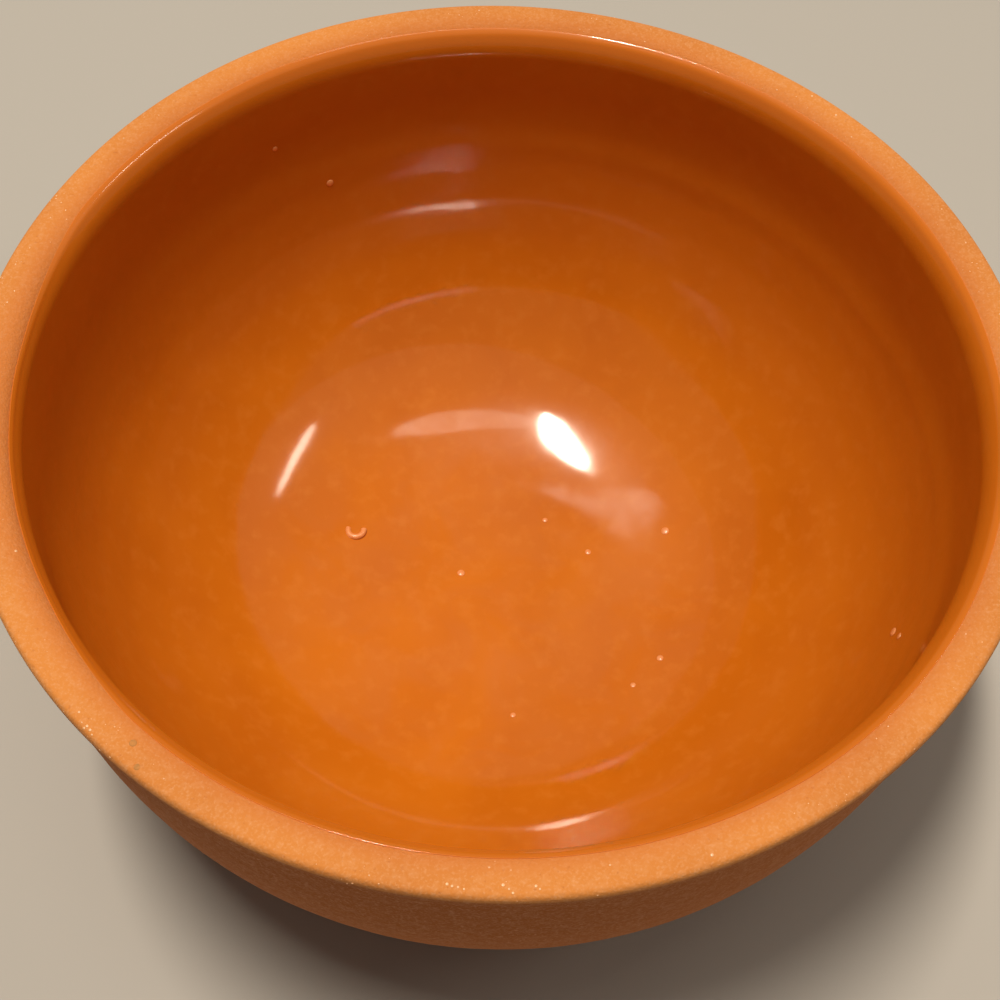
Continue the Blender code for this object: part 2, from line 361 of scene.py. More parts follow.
class Profile:
    """Places that the clay's and the glaze's profiles share."""

    def __init__(self, sizes):
        self.sizes = sizes
        self.outer = sizes.rim_radius - sizes.lip_overhang
        self.inner = self.outer - sizes.wall
        self.crest = sizes.rim_radius - sizes.lip_edge_width
        self.wall_foot = sizes.height - sizes.straight_wall
        self.roll_foot = sizes.height - sizes.lip_roll
        self.floor_radius = sizes.base_radius - sizes.heel

    def stop(self, drop):
        """Angle on the lip's inner roll at a drop below the crest."""
        return math.pi - math.asin((1 - drop / self.sizes.lip_roll) ** (self.sizes.roll_fullness / 2))

    def roll(self, start, end, steps):
        """Arc of the lip's inner roll, between the inside wall and the lip's crest."""
        centre = (self.crest, self.roll_foot)
        half_width = self.crest - self.inner
        return oval(centre, half_width, self.sizes.lip_roll, start, end, steps, self.sizes.roll_fullness)

    def hollow(self, steps):
        """Curve of the inside, from the edge of the flat floor up to the straight wall."""
        floor_edge = (self.floor_radius, self.sizes.floor)
        wall_foot = (self.inner, self.wall_foot)
        width = wall_foot[0] - floor_edge[0]
        height = wall_foot[1] - floor_edge[1]
        floor_handle = (floor_edge[0] + HOLLOW_FLOOR_PULL * width, floor_edge[1])
        wall_handle = (wall_foot[0], wall_foot[1] - HOLLOW_TOP_PULL * height)
        return bezier(floor_edge, floor_handle, wall_handle, wall_foot, steps)

    def belly(self, steps):
        """Curve of the outside, from the straight wall down to the base's edge."""
        wall_foot = (self.outer, self.wall_foot)
        heel = (self.sizes.base_radius, self.sizes.base_edge)
        width = wall_foot[0] - heel[0]
        height = wall_foot[1] - heel[1]
        wall_handle = (wall_foot[0], wall_foot[1] - BELLY_TOP_PULL * height)
        heel_handle = (heel[0] + BELLY_BASE_PULL_OUT * width, heel[1] + BELLY_BASE_PULL_UP * height)
        return bezier(wall_foot, wall_handle, heel_handle, heel, steps)

    def inside(self, steps, roll_steps, drop):
        """Clay under the glaze, from the middle of the floor up to the glaze's edge on the lip."""
        floor = line((0, self.sizes.floor), (self.floor_radius, self.sizes.floor), FLOOR_STEPS)
        wall = line((self.inner, self.wall_foot), (self.inner, self.roll_foot), INNER_WALL_STEPS)
        bowl = spaced(floor[:-1] + self.hollow(HOLLOW_STEPS) + wall[1:], EASING_STEPS)
        roll = self.roll(math.pi, self.stop(drop), roll_steps)
        return spaced(eased(bowl, self.sizes.easing), steps) + roll[1:]

    def clay(self):
        """Whole profile of the clay, and what each of its points carries."""
        sizes = self.sizes
        inside = self.inside(BOWL_STEPS, ROLL_STEPS, sizes.glaze_stop)
        crest = self.roll(self.stop(sizes.glaze_stop), math.pi / 2, ROLL_STEPS)[1:]
        edge_centre = (self.crest, sizes.height - sizes.lip_edge_drop)
        edge = oval(edge_centre, sizes.lip_edge_width, sizes.lip_edge_drop, math.pi / 2, 0, EDGE_STEPS,
                    sizes.lip_fullness)[1:]
        under_centre = (self.outer, edge_centre[1])
        under_height = sizes.lip_height - sizes.lip_edge_drop
        under = oval(under_centre, sizes.lip_overhang, under_height, 0, -math.pi / 2, UNDER_STEPS)[1:]
        wall = line(under[-1], (self.outer, self.wall_foot), WALL_STEPS)[1:-1]
        belly = self.belly(BELLY_STEPS)
        turn_centre = (sizes.base_radius - sizes.base_edge, sizes.base_edge)
        turn = oval(turn_centre, sizes.base_edge, sizes.base_edge, 0, -math.pi / 2, BASE_EDGE_STEPS)[1:]
        base = line(turn[-1], (0, 0), BASE_STEPS)[1:]
        points = inside + crest + edge + under + wall + belly + turn + base
        first_roll = len(inside) - ROLL_STEPS
        first_edge = len(inside + crest)
        first_under = first_edge + len(edge)
        first_outer = first_under + len(under)
        last_outer = first_outer + len(wall + belly)
        shares = {name: [] for name in SHARES}
        for i, point in enumerate(points):
            reach = min(i - first_outer, last_outer - 1 - i)
            shares["ridge"].append(smooth(reach / CLAY_RIDGE_FADE))
            past = (point - inside[-1]).length if i >= len(inside) else 0.0
            shares["edge"].append(smooth(1 - past / sizes.soak_and_shade))
            above = (point[1] - edge_centre[1]) / (LIP_FADE * sizes.lip_edge_drop)
            bare = 1.0 if i < first_edge else smooth(above)
            shares["lip"].append(bare if first_roll <= i < first_under else 0.0)
        return points, shares

    def glaze(self, drop):
        """Whole profile of a glaze that ends at a drop below the crest, and what its points carry."""
        sizes = self.sizes
        face = self.inside(GLAZE_STEPS, GLAZE_ROLL_STEPS, drop)
        start = len(face) - 1 - GLAZE_ROLL_STEPS
        raised = []
        shares = {name: [] for name in SHARES}
        for i, lift in enumerate(normals(face)):
            t = max(i - start, 0) / GLAZE_ROLL_STEPS
            height = sizes.glaze_face + (sizes.glaze_edge - sizes.glaze_face) * smooth(t)
            height += sizes.glaze_bead * math.exp(-((t - BEAD_PLACE) / BEAD_SPREAD) ** 2)
            raised.append(face[i] + lift * height)
            shares["ridge"].append(smooth((start - i) / GLAZE_RIDGE_FADE))
            shares["edge"].append(smooth(t))
        along = (face[-1] - face[-2]).normalized()
        up = normals(face)[-1]
        tip_radius = (raised[-1] - face[-1]).dot(up) / 2
        tip_centre = face[-1] + up * tip_radius
        turns = [math.pi * (0.5 - step / TIP_STEPS) for step in range(1, TIP_STEPS)]
        tip = [tip_centre + tip_radius * (along * math.cos(a) + up * math.sin(a)) for a in turns]
        clay = self.inside(BOWL_STEPS, ROLL_STEPS, drop)
        back_start = len(clay) - 1 - ROLL_STEPS
        back = []
        for i, lift in enumerate(normals(clay)):
            t = max(i - back_start, 0) / ROLL_STEPS
            back.append(clay[i] + lift * sizes.glaze_back * (1 - BACK_CLOSING * smooth(t)))
        points = raised + tip + back[::-1]
        for name, beyond in (("ridge", 0.0), ("edge", 1.0), ("lip", 0.0)):
            shares[name] += [beyond] * (len(points) - len(shares[name]))
        return points, shares


def normals(points):
    """Directions square to a profile, to the left of its way."""
    result = []
    for i in range(len(points)):
        way = points[min(i + 1, len(points) - 1)] - points[max(i - 1, 0)]
        result.append(Vector((-way.y, way.x)).normalized() if points[i].x > 0 else Vector((0, 1)))
    return result


# Geometry trees


def tree_with_inputs(name, inputs):
    """A geometry tree with named inputs and one output, and the sockets of its inputs."""
    tree = bpy.data.node_groups.new(name, "GeometryNodeTree")
    for label, kind in inputs:
        tree.interface.new_socket(label, in_out="INPUT", socket_type=kind)
    tree.interface.new_socket("Piece", in_out="OUTPUT", socket_type="NodeSocketGeometry")
    return tree, add_node(tree, "NodeGroupInput")


def end_tree(tree, geometry, material):
    """Ends a tree in real faces of one material."""
    real = add_node(tree, "GeometryNodeRealizeInstances", {"Geometry": geometry})[0]
    dressed = add_node(tree, "GeometryNodeSetMaterial", {"Geometry": real, "Material": material})[0]
    add_node(tree, "NodeGroupOutput", {0: dressed})


def turning_tree():
    """Turns a profile about Z on the wheel: rows of a grid become its rings."""
    tree, given = tree_with_inputs("Turn on the wheel", (
        ("Profile", "NodeSocketGeometry"),
        ("Segments", "NodeSocketInt"),
        ("Sag bearing", "NodeSocketFloat"),
        ("Ridge pitch", "NodeSocketFloat"),
        ("Ridge depth", "NodeSocketFloat"),
        ("Ripple size", "NodeSocketFloat"),
        ("Ripple depth", "NodeSocketFloat"),
        ("Waver size", "NodeSocketFloat"),
        ("Waver depth", "NodeSocketFloat"),
        ("Pot height", "NodeSocketFloat"),
        ("Seed", "NodeSocketInt"),
        ("Material", "NodeSocketMaterial"),
    ))
    place = add_node(tree, "GeometryNodeInputPosition")[0]
    count = add_node(tree, "GeometryNodeAttributeDomainSize", {"Geometry": given["Profile"]})["Point Count"]
    columns = add_node(tree, MATH, {0: given["Segments"], 1: 1.0}, operation="ADD")[0]
    grid = add_node(tree, "GeometryNodeMeshGrid", {"Vertices X": columns, "Vertices Y": count})
    index = add_node(tree, "GeometryNodeInputIndex")[0]
    column = add_node(tree, "FunctionNodeIntegerMath", {0: index, 1: count}, operation="DIVIDE")[0]
    row = add_node(tree, "FunctionNodeIntegerMath", {0: index, 1: count}, operation="MODULO")[0]
    step = add_node(tree, MATH, {0: math.tau, 1: given["Segments"]}, operation="DIVIDE")[0]
    turn = add_node(tree, MATH, {0: column, 1: step}, operation="MULTIPLY")[0]

    # The profile sags to its low place on one side, with a slightly ragged line
    away = add_node(tree, MATH, {0: turn, 1: given["Sag bearing"]}, operation="SUBTRACT")[0]
    swing = add_node(tree, MATH, {0: away}, operation="COSINE")[0]
    sag = add_node(tree, RANGE, {0: swing, 1: SAG_ENDS, 2: SAG_FULL},
                   interpolation_type="SMOOTHSTEP")[0]
    compass = add_node(tree, ROTATE, {"Vector": (1.0, 0.0, 0.0), "Angle": turn}, rotation_type="Z_AXIS")[0]
    ragged = add_node(tree, NOISE, {"Vector": compass, "W": given["Seed"], "Scale": 9.0, "Detail": 3.0},
                      noise_dimensions="4D")["Fac"]
    rough = add_node(tree, RANGE, {0: ragged, 1: 0.3, 2: 0.7, 3: -0.02, 4: 0.02})[0]
    low_share = add_node(tree, MATH, {0: sag, 1: rough}, operation="ADD")[0]
    low = add_node(tree, NAMED, {"Name": "low"}, data_type="FLOAT_VECTOR")[0]
    ends = []
    for value in (place, low):
        ends.append(add_node(tree, SAMPLE, {"Geometry": given["Profile"], "Value": value, "Index": row},
                             data_type="FLOAT_VECTOR")[0])
    ring = add_node(tree, MIX, {0: low_share, 4: ends[0], 5: ends[1]}, data_type="VECTOR",
                    clamp_factor=False)[1]
    spun = add_node(tree, ROTATE, {"Vector": ring, "Angle": turn}, rotation_type="Z_AXIS")[0]
    sheet = add_node(tree, STORE, {"Geometry": grid["Mesh"], "Name": "OFBake", "Value": grid["UV Map"]},
                     data_type="FLOAT2", domain="CORNER")[0]
    for name in SHARES:
        share = add_node(tree, NAMED, {"Name": name}, data_type="FLOAT")[0]
        on_ring = add_node(tree, SAMPLE, {"Geometry": given["Profile"], "Value": share, "Index": row},
                           data_type="FLOAT")[0]
        sheet = add_node(tree, STORE, {"Geometry": sheet, "Name": name, "Value": on_ring},
                         data_type="FLOAT")[0]
    lathed = add_node(tree, MOVE, {"Geometry": sheet, "Position": spun})[0]
    closed = add_node(tree, "GeometryNodeMergeByDistance", {"Geometry": lathed, "Distance": 1e-6})[0]
    outward = add_node(tree, "GeometryNodeFlipFaces", {"Mesh": closed})[0]

    # Throwing ridges climb in one spiral, and ripples roughen them; both stand square to the surface
    parts = add_node(tree, "ShaderNodeSeparateXYZ", {0: place})
    bearing = add_node(tree, MATH, {0: parts["Y"], 1: parts["X"]}, operation="ARCTAN2")[0]
    rise = add_node(tree, MATH, {0: math.tau, 1: given["Ridge pitch"]}, operation="DIVIDE")[0]
    climb = add_node(tree, MATH, {0: parts["Z"], 1: rise, 2: bearing}, operation="MULTIPLY_ADD")[0]
    wave = add_node(tree, MATH, {0: climb}, operation="SINE")[0]
    ripple_scale = add_node(tree, MATH, {0: 1.0, 1: given["Ripple size"]}, operation="DIVIDE")[0]
    ripple = add_node(tree, NOISE, {
        "Vector": place, "W": given["Seed"], "Scale": ripple_scale, "Detail": 2.0},
        noise_dimensions="4D")["Fac"]
    swell = add_node(tree, MATH, {0: ripple, 1: 0.5}, operation="SUBTRACT")[0]
    rippled = add_node(tree, MATH, {0: swell, 1: given["Ripple depth"]}, operation="MULTIPLY")[0]
    relief = add_node(tree, MATH, {0: wave, 1: given["Ridge depth"], 2: rippled}, operation="MULTIPLY_ADD")[0]
    marked = add_node(tree, NAMED, {"Name": "ridge"}, data_type="FLOAT")[0]
    amount = add_node(tree, MATH, {0: relief, 1: marked}, operation="MULTIPLY")[0]
    normal = add_node(tree, "GeometryNodeInputNormal")[0]
    lift = add_node(tree, VECTOR_MATH, {0: normal, "Scale": amount}, operation="SCALE")[0]
    thrown = add_node(tree, MOVE, {"Geometry": outward, "Offset": lift})[0]

    # Slow wavers shift the whole wall sideways and the lip up and down; the base stays flat
    waver_scale = add_node(tree, MATH, {0: 1.0, 1: given["Waver size"]}, operation="DIVIDE")[0]
    drift = add_node(tree, NOISE, {"Vector": place, "W": given["Seed"], "Scale": waver_scale, "Detail": 0.0},
                     noise_dimensions="4D")["Color"]
    centred = add_node(tree, VECTOR_MATH, {0: drift, 1: (0.5, 0.5, 0.5)}, operation="SUBTRACT")[0]
    level = add_node(tree, MATH, {0: parts["Z"], 1: given["Pot height"]}, operation="DIVIDE")[0]
    eased_level = add_node(tree, MATH, {0: level, 1: 2.0}, operation="POWER")[0]
    sway = add_node(tree, MATH, {0: eased_level, 1: given["Waver depth"]}, operation="MULTIPLY")[0]
    waver = add_node(tree, VECTOR_MATH, {0: centred, "Scale": sway}, operation="SCALE")[0]
    wavered = add_node(tree, MOVE, {"Geometry": thrown, "Offset": waver})[0]
    shaded = add_node(tree, "GeometryNodeSetShadeSmooth", {"Geometry": wavered})[0]
    end_tree(tree, shaded, given["Material"])
    return tree


def grains_tree():
    """Sows grains over the bare lip, thicker in some places than in others."""
    tree, given = tree_with_inputs("Sow the grains", (
        ("Clay", "NodeSocketGeometry"),
        ("Grain size", "NodeSocketFloat"),
        ("Grain spacing", "NodeSocketFloat"),
        ("Seed", "NodeSocketInt"),
        ("Material", "NodeSocketMaterial"),
    ))
    place = add_node(tree, "GeometryNodeInputPosition")[0]
    bare = add_node(tree, NAMED, {"Name": "lip"}, data_type="FLOAT")[0]
    patches = add_node(tree, NOISE, {"Vector": place, "Scale": scale_of(9), "Detail": 2.0})["Fac"]
    thick = add_node(tree, RANGE, {0: patches, 1: 0.50, 2: 0.72, 3: 0.10, 4: 4.0})[0]
    soaked = add_node(tree, NAMED, {"Name": "edge"}, data_type="FLOAT")[0]
    past_glaze = add_node(tree, MATH, {0: soaked, 1: COVERED}, operation="LESS_THAN")[0]
    reached = add_node(tree, MATH, {0: bare, 1: past_glaze}, operation="MULTIPLY")[0]
    share = add_node(tree, MATH, {0: reached, 1: thick}, operation="MULTIPLY")[0]
    apart = add_node(tree, MATH, {0: given["Grain spacing"], 1: -2.0}, operation="POWER")[0]
    density = add_node(tree, MATH, {0: share, 1: apart}, operation="MULTIPLY")[0]
    sown = add_node(tree, "GeometryNodeDistributePointsOnFaces", {
        "Mesh": given["Clay"], "Density": density, "Seed": given["Seed"]})
    grain = add_node(tree, "GeometryNodeMeshIcoSphere", {"Radius": 0.5, "Subdivisions": 1})["Mesh"]
    draw = add_node(tree, RANDOM, {2: 0.0, 3: 1.0, "Seed": given["Seed"]}, data_type="FLOAT")[1]
    mostly_small = add_node(tree, MATH, {0: draw, 1: 2.2}, operation="POWER")[0]
    spread = add_node(tree, RANGE, {0: mostly_small, 3: 0.4, 4: 1.0})[0]
    width = add_node(tree, MATH, {0: spread, 1: given["Grain size"]}, operation="MULTIPLY")[0]
    flat = add_node(tree, VECTOR_MATH, {0: GRAIN_SHAPE, "Scale": width}, operation="SCALE")[0]
    grains = add_node(tree, INSTANCE, {
        "Points": sown["Points"], "Instance": grain, "Rotation": sown["Rotation"], "Scale": flat})[0]
    end_tree(tree, grains, given["Material"])
    return tree


def spots_tree():
    """Sets a low round spot on every given point, square to the surface it stands on."""
    tree, given = tree_with_inputs("Set the spots", (
        ("Points", "NodeSocketGeometry"),
        ("Spot size", "NodeSocketFloat"),
        ("Spot height", "NodeSocketFloat"),
        ("Seed", "NodeSocketInt"),
        ("Material", "NodeSocketMaterial"),
    ))
    points = add_node(tree, "GeometryNodeMeshToPoints", {"Mesh": given["Points"]})[0]
    normal = add_node(tree, NAMED, {"Name": "facing"}, data_type="FLOAT_VECTOR")[0]
    stood = add_node(tree, "FunctionNodeAlignRotationToVector", {"Vector": normal}, axis="Z")[0]
    draw = add_node(tree, RANDOM, {2: 0.6, 3: 1.0, "Seed": given["Seed"]}, data_type="FLOAT")[1]
    squash = add_node(tree, "ShaderNodeCombineXYZ", {
        "X": given["Spot size"], "Y": given["Spot size"], "Z": given["Spot height"]})[0]
    sized = add_node(tree, VECTOR_MATH, {0: squash, "Scale": draw}, operation="SCALE")[0]
    dome = add_node(tree, "GeometryNodeMeshIcoSphere", {"Radius": 0.5, "Subdivisions": 3})["Mesh"]
    spots = add_node(tree, INSTANCE, {
        "Points": points, "Instance": dome, "Rotation": stood, "Scale": sized})[0]
    shaded = add_node(tree, "GeometryNodeSetShadeSmooth", {"Geometry": spots})[0]
    end_tree(tree, shaded, given["Material"])
    return tree


def crescent_tree():
    """Bends a bead that tapers at both ends into part of a ring round one given point."""
    tree, given = tree_with_inputs("Bend the crescent", (
        ("Point", "NodeSocketGeometry"),
        ("Crescent size", "NodeSocketFloat"),
        ("Material", "NodeSocketMaterial"),
    ))
    ring_radius = add_node(tree, MATH, {0: given["Crescent size"], 1: 0.40}, operation="MULTIPLY")[0]
    bead_radius = add_node(tree, MATH, {0: given["Crescent size"], 1: 0.15}, operation="MULTIPLY")[0]
    arc = add_node(tree, "GeometryNodeCurveArc", {
        "Resolution": 24, "Radius": ring_radius, "Start Angle": math.radians(165),
        "Sweep Angle": math.radians(205)}, mode="RADIUS")["Curve"]
    along = add_node(tree, "GeometryNodeSplineParameter")["Factor"]
    half_turn = add_node(tree, MATH, {0: along, 1: math.pi}, operation="MULTIPLY")[0]
    arch = add_node(tree, MATH, {0: half_turn}, operation="SINE")[0]
    taper = add_node(tree, RANGE, {0: arch, 3: 0.35, 4: 1.0})[0]
    tapered = add_node(tree, "GeometryNodeSetCurveRadius", {"Curve": arc, "Radius": taper})[0]
    section = add_node(tree, "GeometryNodeCurvePrimitiveCircle", {
        "Resolution": 10, "Radius": bead_radius})["Curve"]
    bead = add_node(tree, "GeometryNodeCurveToMesh", {
        "Curve": tapered, "Profile Curve": section, "Fill Caps": True})[0]
    points = add_node(tree, "GeometryNodeMeshToPoints", {"Mesh": given["Point"]})[0]
    set_down = add_node(tree, INSTANCE, {"Points": points, "Instance": bead})[0]
    shaded = add_node(tree, "GeometryNodeSetShadeSmooth", {"Geometry": set_down})[0]
    end_tree(tree, shaded, given["Material"])
    return tree


def grow(name, mesh, tree, values):
    """Makes a piece by running a geometry tree on a mesh, with the tree's inputs given by name."""
    piece = bpy.data.objects.new(name, mesh)
    bpy.context.scene.collection.objects.link(piece)
    modifier = piece.modifiers.new(tree.name, "NODES")
    modifier.node_group = tree
    sockets = {item.name: item.identifier for item in tree.interface.items_tree if item.in_out == "INPUT"}
    for label, value in values.items():
        modifier[sockets[label]] = value
    depsgraph = bpy.context.evaluated_depsgraph_get()
    made = bpy.data.meshes.new_from_object(piece.evaluated_get(depsgraph))
    piece.modifiers.clear()
    piece.data = made
    made.name = name
    return piece


def profile_mesh(name, points, low_points, shares):
    """A profile as a string of edges, with each point's place where it sags and what else it carries."""
    mesh = bpy.data.meshes.new(name)
    edges = [(i, i + 1) for i in range(len(points) - 1)]
    mesh.from_pydata([(max(p.x, 0.0), 0.0, p.y) for p in points], edges, [])
    for share in SHARES:
        mesh.attributes.new(share, "FLOAT", "POINT").data.foreach_set("value", shares[share])
    low = [part for p in low_points for part in (max(p.x, 0.0), 0.0, p.y)]
    mesh.attributes.new("low", "FLOAT_VECTOR", "POINT").data.foreach_set("vector", low)
    return mesh


def points_under(name, pixels, piece):
    """Points of a piece that the camera sees at pixels of the photograph, with the way that each faces."""
    camera = bpy.context.scene.camera
    depsgraph = bpy.context.evaluated_depsgraph_get()
    half = PICTURE_PIXELS / 2
    reach = camera.data.lens / camera.data.sensor_width * PICTURE_PIXELS
    places = []
    facing = []
    for across, down in pixels:
        way = camera.rotation_quaternion @ Vector((across - half, half - down, -reach))
        found, place, normal, _ = piece.ray_cast(camera.location, way, depsgraph=depsgraph)
        if not found:
            raise ValueError(f"{piece.name} has nothing at pixel {across}, {down}")
        places.append(place)
        facing.extend(normal)
    mesh = bpy.data.meshes.new(name)
    mesh.from_pydata(places, [], [])
    mesh.attributes.new("facing", "FLOAT_VECTOR", "POINT").data.foreach_set("vector", facing)
    return mesh


# Materials


def new_material(name):
    """An empty node material and its tree."""
    material = bpy.data.materials.new(name)
    material.use_nodes = True
    material.node_tree.nodes.clear()
    return material, material.node_tree


def bare_terracotta(finish):
    """Unglazed red earthenware, thrown and wiped with a sponge: matte, sandy, paler where it turns away. The
    wall's colour is darker than the lip's partly by painted shade, and the band by the glaze is darker partly
    by painted shade.
    """
    material, tree = new_material("bare_terracotta_thrown")
    where = add_node(tree, COORDINATES)["Object"]
    lip = add_node(tree, ATTRIBUTE, attribute_name="lip")["Fac"]
    # Painted shade in part: the wall and the underside of the lip take the darker wall colour
    tint = add_node(tree, MIX, {0: lip, 6: finish.clay_outside_and_shade, 7: finish.clay}, data_type="RGBA")[2]

    # Clouds, streaks of the sponge, sand and iron specks: size in mm, squeeze, from, to, most, colour
    even = (1.0, 1.0, 1.0)
    drawn = (0.06, 0.06, 1.0)
    for millimetres, squeeze, low, high, most, layer in (
            (26, even, 0.40, 0.72, 0.22, finish.clay_iron),
            (3.2, drawn, 0.46, 0.72, 0.24, finish.clay_iron),
            (1.30, even, 0.46, 0.68, 0.12, finish.clay_sand),
            (0.50, even, 0.50, 0.74, 0.26, finish.clay_sand),
            (0.90, even, 0.64, 0.76, 0.32, finish.clay_iron)):
        stretched = add_node(tree, VECTOR_MATH, {0: where, 1: squeeze}, operation="MULTIPLY")[0]
        noise = add_node(tree, NOISE, {
            "Vector": stretched, "Scale": scale_of(millimetres), "Detail": 2.0})["Fac"]
        share = add_node(tree, RANGE, {0: noise, 1: low, 2: high, 3: 0.0, 4: most})[0]
        tint = add_node(tree, MIX, {0: share, 6: tint, 7: layer}, data_type="RGBA")[2]
    # The band by the glaze's edge is darkened partly by a glaze stain and partly by painted shade on the
    # lip's inner slope
    soak_and_shade = add_node(tree, ATTRIBUTE, attribute_name="edge")["Fac"]
    drunk = add_node(tree, MATH, {0: soak_and_shade, 1: 0.5}, operation="MULTIPLY")[0]
    stained = add_node(tree, MIX, {0: drunk, 6: tint, 7: finish.clay_soaked_and_shaded}, data_type="RGBA")[2]
    grit = add_node(tree, NOISE, {"Vector": where, "Scale": scale_of(0.6), "Detail": 3.0})["Fac"]
    tooth = add_node(tree, "ShaderNodeBump", {"Strength": 0.7, "Distance": 0.00022, "Height": grit})[0]
    shader = add_node(tree, SURFACE, {
        "Base Color": stained, "Roughness": 0.80, "Diffuse Roughness": 0.1, "IOR": 1.5,
        "Specular IOR Level": 0.15, "Normal": tooth, "Sheen Weight": 0.10, "Sheen Roughness": 0.45,
        "Sheen Tint": finish.clay_sand})[0]
    add_node(tree, OUTPUT, {"Surface": shader})
    return material


def clear_glaze(finish):
    """Clear glaze poured over red clay and fired: glossy, faintly rippled, warmer where it pools thick, and
    darker up the wall by painted shade.
    """
    material, tree = new_material("clear_glaze_on_red_clay")
    where = add_node(tree, COORDINATES)["Object"]
    height = add_node(tree, "ShaderNodeSeparateXYZ", {0: where})["Z"]

    # Clouds in the film: size in mm, detail, distortion, from, to, value below, value above
    film = {}
    for name, millimetres, detail, distortion, *span in (
            ("thick", 34, 3.0, 0.6, 0.36, 0.68, 0.0, 0.55),
            ("thin", 4, 4.0, 0.0, 0.5, 0.75, 0.0, 0.35),
            ("dull", 17, 4.0, 0.8, 0.38, 0.64, 0.30, 0.95)):
        cloud = add_node(tree, NOISE, {
            "Vector": where, "Scale": scale_of(millimetres), "Detail": detail,
            "Distortion": distortion})["Fac"]
        film[name] = add_node(tree, RANGE, dict(enumerate((cloud, *span))))[0]

    # What changes up the inside: from a height, to a height, value below, value above
    rising = {}
    for name, *span in (
            ("off the floor", 0.012, 0.020, 0.0, 1.0),
            # The next two rows set the painted shade on the wall: it grows from 35 to 70 mm and lifts again
            # from 82 to 98 mm
            ("darkens", 0.035, 0.070, 0.0, 0.52),
            ("shade lifts", 0.082, 0.098, 1.0, 0.25),
            ("drained", 0.068, 0.084, 1.0, 0.35),
            ("held", 0.0995, 0.1025, 0.35, 1.0),
            ("rippled", 0.030, 0.060, 0.10, 0.28),
            ("stilled", 0.070, 0.090, 1.0, 0.15)):
        rising[name] = add_node(tree, RANGE, dict(enumerate((height, *span))))[0]

    deep = add_node(tree, MIX, {0: film["thick"], 6: finish.glaze, 7: finish.glaze_deep}, data_type="RGBA")[2]
    tinted = add_node(tree, MIX, {0: film["thin"], 6: deep, 7: finish.glaze_thin}, data_type="RGBA")[2]
    # Painted shade: between those heights the glaze takes the darker wall colour, which stands in for the
    # shade on the upper wall
    wall_shade_share = add_node(tree, MATH, {0: rising["darkens"], 1: rising["shade lifts"]}, operation="MULTIPLY")[0]
    wall_shaded = add_node(tree, MIX, {0: wall_shade_share, 6: tinted, 7: finish.glaze_wall_shade}, data_type="RGBA")[2]
    edge = add_node(tree, ATTRIBUTE, attribute_name="edge")["Fac"]
    lip_tint = add_node(tree, MIX, {0: edge, 6: wall_shaded, 7: finish.glaze_lip}, data_type="RGBA")[2]

    # The film is duller in patches on the floor, and high on the wall, where it ran off before it set
    floored = add_node(tree, MIX, {0: rising["off the floor"], 2: film["dull"], 3: 1.0}, data_type="FLOAT")[0]
    drained = add_node(tree, MATH, {0: rising["drained"], 1: rising["held"]}, operation="MAXIMUM")[0]
    gloss = add_node(tree, MATH, {0: floored, 1: drained}, operation="MULTIPLY")[0]
    peel = add_node(tree, NOISE, {"Vector": where, "Scale": scale_of(3.2), "Detail": 2.0})["Fac"]
    fading = add_node(tree, MATH, {0: rising["rippled"], 1: rising["stilled"]}, operation="MULTIPLY")[0]
    skin = add_node(tree, "ShaderNodeBump", {"Strength": fading, "Distance": 0.0003, "Height": peel})[0]
    shader = add_node(tree, SURFACE, {
        "Base Color": lip_tint, "Roughness": 0.30, "IOR": 1.5, "Specular IOR Level": 0.08, "Normal": skin,
        "Coat Weight": gloss, "Coat Roughness": 0.09, "Coat IOR": 1.6})[0]
    add_node(tree, OUTPUT, {"Surface": shader})
    return material


def burst_glaze(finish):
    """Glaze that boiled and burst in the firing: a pale thin skin over the clay, still glossy."""
    material, tree = new_material("burst_glaze_skin")
    where = add_node(tree, COORDINATES)["Object"]
    cloud = add_node(tree, NOISE, {"Vector": where, "Scale": scale_of(0.8), "Detail": 2.0})["Fac"]
    tint = add_node(tree, MIX, {0: cloud, 6: finish.glaze_lip, 7: finish.blister}, data_type="RGBA")[2]
    shader = add_node(tree, SURFACE, {
        "Base Color": tint, "Roughness": 0.40, "IOR": 1.5, "Coat Weight": 0.5, "Coat Roughness": 0.15})[0]
    add_node(tree, OUTPUT, {"Surface": shader})
    return material


def mica_grains(finish):
    """Mica and quartz left in the clay by its sand: pale flakes that catch the light."""
    material, tree = new_material("mica_sand_grains")
    where = add_node(tree, COORDINATES)["Object"]
    cloud = add_node(tree, NOISE, {"Vector": where, "Scale": scale_of(2.5), "Detail": 1.0})["Fac"]
    share = add_node(tree, RANGE, {0: cloud, 1: 0.35, 2: 0.65})[0]
    tint = add_node(tree, MIX, {0: share, 6: finish.clay_sand, 7: finish.mica}, data_type="RGBA")[2]
    shader = add_node(tree, SURFACE, {
        "Base Color": tint, "Roughness": 0.28, "IOR": 1.58})[0]
    add_node(tree, OUTPUT, {"Surface": shader})
    return material


def food_stain(finish):
    """Old fat and soot drunk by the bare clay: a dull greyish brown, darker in the middle."""
    material, tree = new_material("stained_terracotta")
    where = add_node(tree, COORDINATES)["Object"]
    cloud = add_node(tree, NOISE, {"Vector": where, "Scale": scale_of(0.7), "Detail": 2.0})["Fac"]
    tint = add_node(tree, MIX, {0: cloud, 6: finish.stain, 7: finish.clay}, data_type="RGBA")[2]
    shader = add_node(tree, SURFACE, {"Base Color": tint, "Roughness": 0.85, "IOR": 1.5})[0]
    add_node(tree, OUTPUT, {"Surface": shader})
    return material


# Operators


def settled(piece, slot, *nodes):
    """Hangs a finished piece on the pot's body and hides the model's parts that it takes the place of. The
    slot is not used.
    """
    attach(piece, BODY)
    if nodes:
        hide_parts(*nodes)
    return piece


